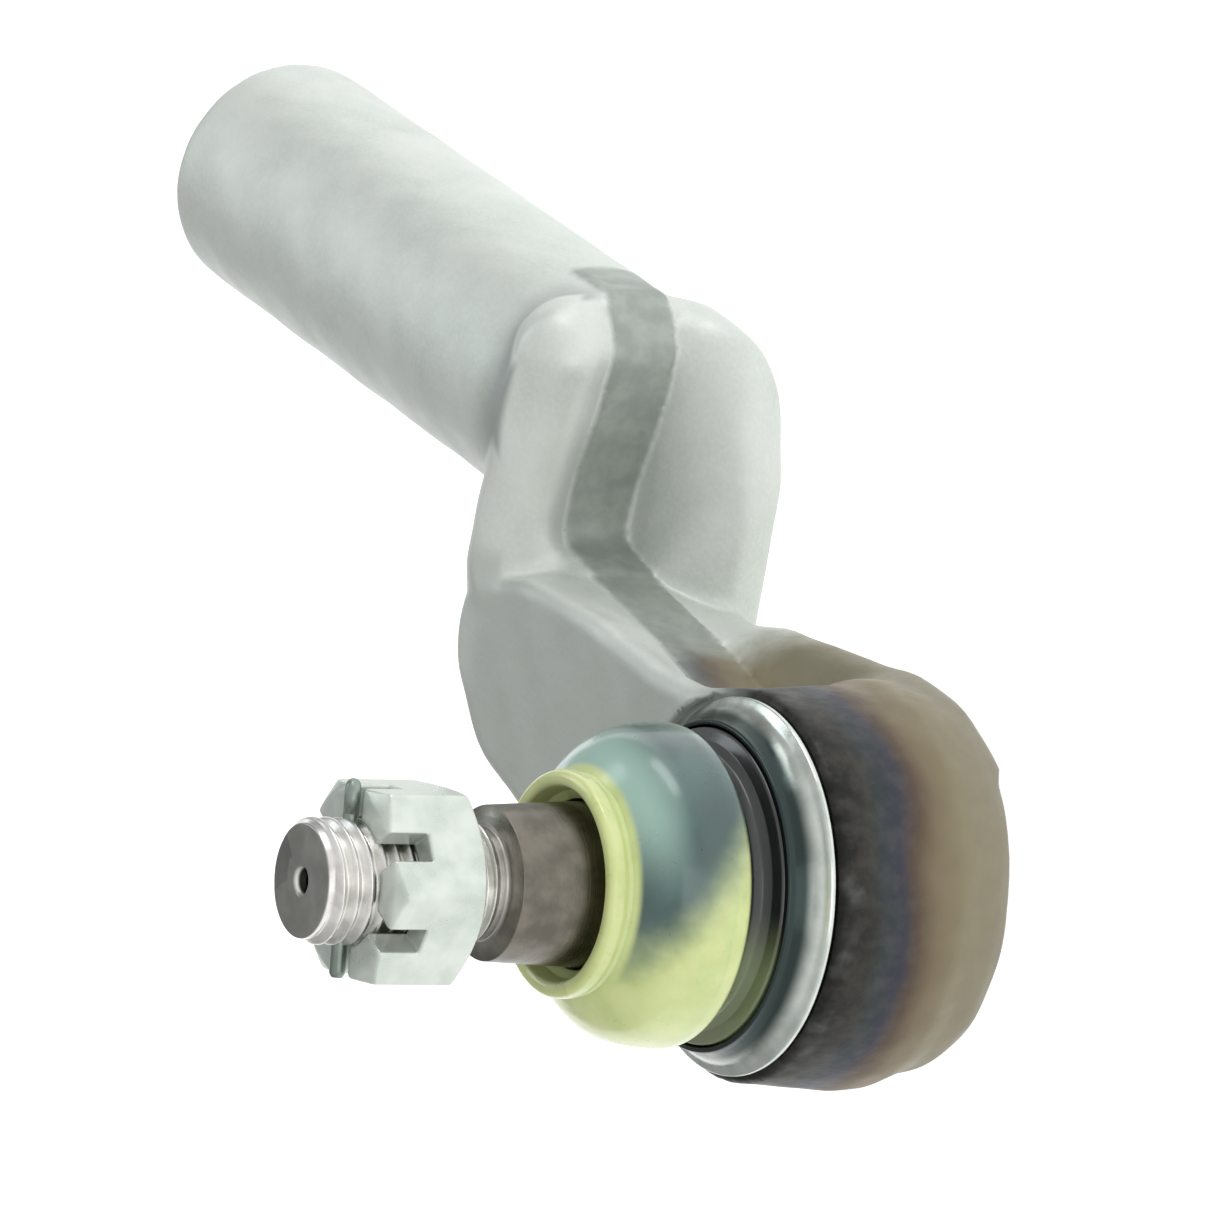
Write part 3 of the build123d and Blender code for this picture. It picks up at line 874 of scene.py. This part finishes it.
def arm_steel(s, x, y, z, grain):
    """The arms' colour: blasted steel, the trimmed flash line, painted shade on the neck's face towards the
    stud and in the crease where the shank leaves the crank.
    """
    patches = s.noise(26.0, 3)
    steel = s.mix(s.between(patches, 0.3, 0.7), tone(193, 199, 193), tone(205, 209, 204))
    steel = s.mix(s.between(grain, 0.35, 0.75, 0.0, 0.4), steel, tone(211, 215, 209))
    flash = s.add("ShaderNodeAttribute", attribute_name="flash").outputs["Fac"]
    trimmed = s.mix(s.between(s.noise(5.0, 3), 0.3, 0.7), tone(144, 151, 145), tone(158, 165, 158))
    steel = s.mix(flash, steel, trimmed)

    # Painted shade darkens the crease where the shank comes out of the crank.
    up = s.math("SUBTRACT", z, parting_z)
    off_axis = s.hypot(s.math("SUBTRACT", y, shank_y), up)
    on_shank = s.product(s.between(off_axis, 24.0, 25.0), s.between(off_axis, 25.9, 26.6, 1.0, 0.0))
    foot = s.product(s.between(x, 111.5, 113.5), s.between(x, 114.0, 128.0, 0.62, 0.0))
    foot = s.product(foot, on_shank, s.between(up, 4.0, 14.0))
    steel = s.mix(foot, steel, tone(112, 118, 117))

    # Painted shade: the neck's face towards the stud is darker, as it faces away from the light.
    beside = s.product(s.between(y, -30.0, -25.0), s.between(x, 104.0, 122.0, 1.0, 0.0))
    shaded_face = s.product(s.between(z, -31.5, -30.0), beside)
    return s.mix(shaded_face, steel, tone(178, 183, 177))


def heat_tint(s, z):
    """The colours left by heat: dark by the ring, then blue, then brown towards the back."""
    wander = s.product(s.math("SUBTRACT", s.noise(24.0, 2), 0.5), 6.0)
    height = s.math("SUBTRACT", s.math("ADD", z, wander), housing_bottom)
    tint = s.ramp(
        s.math("DIVIDE", height, shoulder_z - housing_bottom, clamp=True),
        [
            (0.00, tone(136, 132, 116)), (0.33, tone(130, 122, 98)), (0.48, tone(114, 102, 80)),
            (0.58, tone(82, 68, 56)), (0.67, tone(50, 52, 64)), (0.76, tone(46, 53, 56)),
            (0.84, tone(40, 39, 36)), (0.93, tone(20, 20, 19)), (1.00, tone(12, 12, 11)),
        ],
    )
    return s.mix(s.between(s.noise(3.5, 4), 0.35, 0.7, 0.0, 0.14), tint, tone(112, 108, 96))


def forging_surface():
    """Forged steel with a heat-tinted housing, sooty where the sides of the neck meet it."""
    s = Surface("forged_steel_blasted", roughness=0.5, metallic=0.55)
    x, y, z = s.axis("X"), s.axis("Y"), s.axis("Z")
    grain = s.noise(0.9, 2)
    wander = s.product(s.math("SUBTRACT", s.noise(9.0, 3), 0.5), 16.0)
    reach = s.math("ADD", s.hypot(x, y), wander)

    side = s.product(s.between(s.math("ABSOLUTE", y), 24.0, 33.0), s.between(z, -31.0, -36.0))
    soot = s.product(s.between(reach, 40.0, 70.0, 0.85, 0.0), side)
    soot = s.product(soot, s.between(s.noise(4.0, 4), 0.3, 0.6, 0.4, 1.0))
    steel = s.mix(soot, arm_steel(s, x, y, z, grain), tone(104, 102, 88))

    deep = s.between(z, -47.0, -35.0, 19.0, 0.0)
    heat = s.between(s.math("SUBTRACT", reach, deep), 37.0, 56.0, 1.0, 0.0)
    on_neck = s.product(s.between(x, 8.0, 30.0), s.between(z, -52.0, -38.0))
    heat = s.product(heat, s.math("SUBTRACT", 1.0, on_neck))
    s.feed("Base Color", s.mix(heat, steel, heat_tint(s, z)))
    s.feed("Metallic", s.between(heat, 0.0, 1.0, 0.45, 0.55))
    s.feed("Roughness", s.between(s.noise(6.0, 3), 0.2, 0.8, 0.42, 0.56))
    s.relief((s.noise(14.0, 2), 0.15), (s.noise(2.2, 3), 0.08), (grain, 0.03))
    return s.material


def machined_surface(name, dark, light, roughness, axis="Z"):
    """Turned steel, with fine rings round the axis it was turned on."""
    s = Surface(name, roughness=roughness, metallic=1.0)
    stretch = (0.02, 0.02, 1.0) if axis == "Z" else (1.0, 0.02, 0.02)
    rings = s.noise(0.35, 2, stretch)
    patches = s.noise(9.0, 3)
    shade = s.product(s.math("ADD", rings, patches), 0.5)
    s.feed("Base Color", s.mix(s.between(shade, 0.3, 0.7), dark, light))
    s.feed("Roughness", s.between(patches, 0.25, 0.75, roughness - 0.06, roughness + 0.08))
    s.relief((rings, 0.012), (s.noise(1.2, 3), 0.02))
    return s.material


def stud_surface():
    """Ground steel on the cone, darker and oiled towards the thread and the end face."""
    s = Surface("stud_steel_ground", roughness=0.3, metallic=1.0)
    z = s.axis("Z")
    rings = s.noise(0.3, 2, (0.02, 0.02, 1.0))
    patches = s.noise(6.0, 4)
    cone = s.mix(s.between(patches, 0.3, 0.7), tone(96, 92, 84), tone(120, 115, 106))
    thread = s.mix(s.between(patches, 0.35, 0.65), tone(200, 198, 194), tone(228, 227, 223))
    end = s.mix(s.between(patches, 0.3, 0.7), tone(150, 150, 144), tone(170, 170, 164))
    body = s.mix(s.between(z, 23.0, 27.0), cone, thread)
    body = s.mix(s.between(z, stud_top - 0.5, stud_top - 0.05), body, end)
    # Painted shade darkens the centre hole in the end face.
    hole_shade = s.between(s.hypot(s.axis("X"), s.axis("Y")), 2.2, 2.6, 1.0, 0.0)
    s.feed("Base Color", s.mix(hole_shade, body, tone(40, 40, 38)))
    s.feed("Roughness", s.between(rings, 0.2, 0.8, 0.24, 0.38))
    s.relief((rings, 0.010), (s.noise(1.0, 3), 0.015))
    return s.material


def zinc_surface(name, dark, light, roughness, metallic=0.9, shadow=None):
    """Bright zinc plate with the faint cloudiness of a passivated coat.

    shadow is (z_from, z_to): the plate darkens between those heights, as in a groove.
    """
    s = Surface(name, roughness=roughness, metallic=metallic)
    clouds = s.noise(7.0, 4)
    fine = s.noise(0.6, 2)
    plate = s.mix(s.between(clouds, 0.3, 0.7), dark, light)
    if shadow:
        plate = s.mix(s.between(s.axis("Z"), *shadow), plate, tone(54, 64, 62))
    s.feed("Base Color", plate)
    s.feed("Roughness", s.between(clouds, 0.25, 0.75, roughness - 0.05, roughness + 0.09))
    s.relief((s.noise(3.0, 2), 0.03), (fine, 0.008))
    return s.material


def boot_surface():
    """Glossy polyurethane, yellow-green, with painted shade in teal over the upper side of the bulge, a
    painted highlight near its top and painted shade in the groove below the waist.
    """
    s = Surface(
        "boot_polyurethane", roughness=0.3, Coat_Weight=0.8, Coat_Roughness=0.16, Specular_IOR_Level=0.5,
        Subsurface_Weight=0.25, Subsurface_Scale=0.004,
    )
    y, z = s.axis("Y"), s.axis("Z")
    clouds = s.noise(9.0, 3)
    green = s.mix(s.between(clouds, 0.3, 0.7), tone(186, 199, 128), tone(201, 211, 146))
    # Painted shade: the upper side of the bulge is painted teal, and the lower side keeps the yellow-green
    # that light shows through.
    teal = s.mix(s.between(s.noise(14.0, 3), 0.3, 0.7), tone(44, 74, 71), tone(62, 94, 89))
    # Painted highlight: the teal turns pale near the top of the bulge, on its upper side.
    pale = s.product(s.between(z, -7.0, 1.5), s.between(y, -6.0, -22.0))
    teal = s.mix(pale, teal, tone(146, 178, 167))
    waver = s.product(s.math("SUBTRACT", clouds, 0.5), 8.0)
    slant = s.math("ADD", s.math("SUBTRACT", y, s.product(z, 1.29)), waver)
    teal_shade_mask = s.between(slant, -5.0, 12.0, 1.0, 0.0)
    on_bulge = s.product(teal_shade_mask, s.between(z, 2.2, 3.2, 1.0, 0.0))
    skin = s.mix(on_bulge, green, teal)
    # Painted shade in the groove and the foot below the waist: near black on the upper side, olive on the
    # lower side.
    groove = s.between(z, -16.2, -17.4)
    shaded = s.mix(s.between(y, -7.0, 9.0), tone(10, 15, 14), tone(104, 116, 78))
    s.feed("Base Color", s.mix(groove, skin, shaded))
    s.feed("Roughness", s.between(s.noise(5.0, 3), 0.25, 0.75, 0.26, 0.40))
    s.relief((s.noise(4.0, 2), 0.05), (s.noise(0.5, 2), 0.006))
    return s.material


def rubber_surface():
    s = Surface("seal_rubber_black", roughness=0.6)
    specks = s.noise(0.8, 3)
    s.feed("Base Color", s.mix(s.between(specks, 0.3, 0.7), tone(34, 34, 35), tone(52, 52, 53)))
    s.feed("Roughness", s.between(s.noise(2.0, 3), 0.3, 0.7, 0.5, 0.7))
    s.relief((specks, 0.02))
    return s.material


def polymer_surface():
    s = Surface("bearing_polymer_ivory", roughness=0.45, Subsurface_Weight=0.1, Subsurface_Scale=0.002)
    clouds = s.noise(5.0, 3)
    s.feed("Base Color", s.mix(s.between(clouds, 0.3, 0.7), tone(214, 208, 188), tone(226, 221, 204)))
    s.feed("Roughness", s.between(clouds, 0.3, 0.7, 0.38, 0.52))
    s.relief((s.noise(0.7, 2), 0.01))
    return s.material


# ==== the object ==============================================================
forged = forging_surface()
machined = machined_surface("housing_machined", tone(150, 148, 142), tone(184, 182, 176), 0.34)
faced = machined_surface("mouth_machined", tone(168, 170, 168), tone(200, 202, 199), 0.32, axis="X")
nut_zinc = zinc_surface("zinc_plate_nut", tone(188, 196, 188), tone(208, 215, 207), 0.30, metallic=0.5)
ring_zinc = zinc_surface(
    "zinc_plate_ring", tone(190, 197, 190), tone(214, 219, 213), 0.2, metallic=1.0,
    shadow=(ring_top - 6.4, ring_top - 3.0),
)
pin_steel = zinc_surface("pin_wire_steel", tone(120, 132, 124), tone(150, 160, 152), 0.35, metallic=0.9)

build_forging(forged)
build_housing_core(machined)
build_thread_socket(faced)
build_stud(stud_surface())
build_nut(nut_zinc)
build_pin(pin_steel)
build_ring(ring_zinc)
build_boot(boot_surface())
build_spring(machined_surface("spring_steel_dark", tone(74, 72, 70), tone(102, 100, 97), 0.36))

polymer = polymer_surface()
insert = machined_surface("insert_steel", tone(128, 128, 126), tone(160, 160, 157), 0.4)
cover = zinc_surface("cover_zinc", tone(186, 188, 184), tone(208, 210, 205), 0.3, metallic=0.95)
for node, surface in {
    "upper_bearing_shell": polymer,
    "lower_bearing_shell": polymer,
    "thrust_plate": insert,
    "closing_cap": cover,
    "cap_seal": rubber_surface(),
    "boot_stiffener_ring": insert,
}.items():
    mesh = frame["nodes"][node].data
    mesh.materials.clear()
    mesh.materials.append(surface)


# ==== floor, light and camera =================================================
def build_floor():
    """A pale floor under the lowest point, bright enough to read as a light tent."""
    half = 3.0
    mesh = bpy.data.meshes.new("floor")
    z = cad_low.z - 0.0002
    corners = [(-half, -half, z), (half, -half, z), (half, half, z), (-half, half, z)]
    mesh.from_pydata(corners, [], [(0, 1, 2, 3)])
    floor = bpy.data.objects.new("floor", mesh)
    bpy.context.scene.collection.objects.link(floor)
    pale = Surface("floor_pale", roughness=1.0, Specular_IOR_Level=0.0)
    pale.shader.inputs["Base Color"].default_value = (0.8, 0.8, 0.8, 1)
    pale.shader.inputs["Emission Color"].default_value = (1, 1, 1, 1)
    pale.shader.inputs["Emission Strength"].default_value = 0.64
    mesh.materials.append(pale.material)


def build_world():
    """A soft pale surround that falls off towards one side, so that metal has something to show."""
    world = bpy.data.worlds.new("studio")
    bpy.context.scene.world = world
    world.use_nodes = True
    tree = world.node_tree
    background = tree.nodes["Background"]
    place = tree.nodes.new("ShaderNodeTexCoord")
    dot = tree.nodes.new("ShaderNodeVectorMath")
    dot.operation = "DOT_PRODUCT"
    dot.inputs[1].default_value = Vector((-0.85, -0.28, 0.25)).normalized()
    tree.links.new(place.outputs["Generated"], dot.inputs[0])
    ramp = tree.nodes.new("ShaderNodeMapRange")
    ramp.interpolation_type = "SMOOTHSTEP"
    for socket, value in (("From Min", -0.9), ("From Max", 0.6), ("To Min", 0.36), ("To Max", 0.92)):
        ramp.inputs[socket].default_value = value
    tree.links.new(dot.outputs["Value"], ramp.inputs["Value"])
    tree.links.new(ramp.outputs[0], background.inputs["Strength"])
    background.inputs["Color"].default_value = (1, 1, 1, 1)


def area_light(name, where, aim, size, power, colour=(1, 1, 1)):
    data = bpy.data.lights.new(name, "AREA")
    data.color = colour
    data.shape = "RECTANGLE"
    data.size, data.size_y = size
    data.energy = power
    lamp = bpy.data.objects.new(name, data)
    bpy.context.scene.collection.objects.link(lamp)
    lamp.location = where
    lamp.rotation_mode = "QUATERNION"
    lamp.rotation_quaternion = (Vector(aim) - Vector(where)).to_track_quat("-Z", "Y")


def build_camera():
    """A long lens at the reference view: aimed near the stud, with the shank running away from it."""
    back = Vector((-0.8127, -0.2899, 0.5054)).normalized()
    up = Vector((0.3506, -0.9361, 0.0269))
    right = up.cross(back).normalized()
    up = back.cross(right)
    aim = Vector((0.0172, -0.0499, -0.0010))
    distance = 1.755
    data = bpy.data.cameras.new("camera")
    data.sensor_width = 36.0
    data.lens = 273.9
    data.clip_start, data.clip_end = 0.05, 50.0
    camera = bpy.data.objects.new("camera", data)
    bpy.context.scene.collection.objects.link(camera)
    turn = Matrix((right, up, back)).transposed().to_4x4()
    camera.matrix_world = Matrix.Translation(aim + back * distance) @ turn
    bpy.context.scene.camera = camera


build_floor()
build_world()
area_light("key", (-1.25, -0.35, 0.3), (0.08, -0.03, -0.04), (0.9, 0.9), 2.2)
area_light("strip", (0.32, -1.3, 0.25), (0.0, -0.02, -0.01), (0.8, 0.3), 3.0)
area_light("back", (1.0, -0.27, 0.74), (0.16, -0.057, -0.04), (0.9, 0.25), 1.6, (0.86, 0.96, 1.0))
build_camera()
bpy.context.scene.view_settings.view_transform = "Standard"
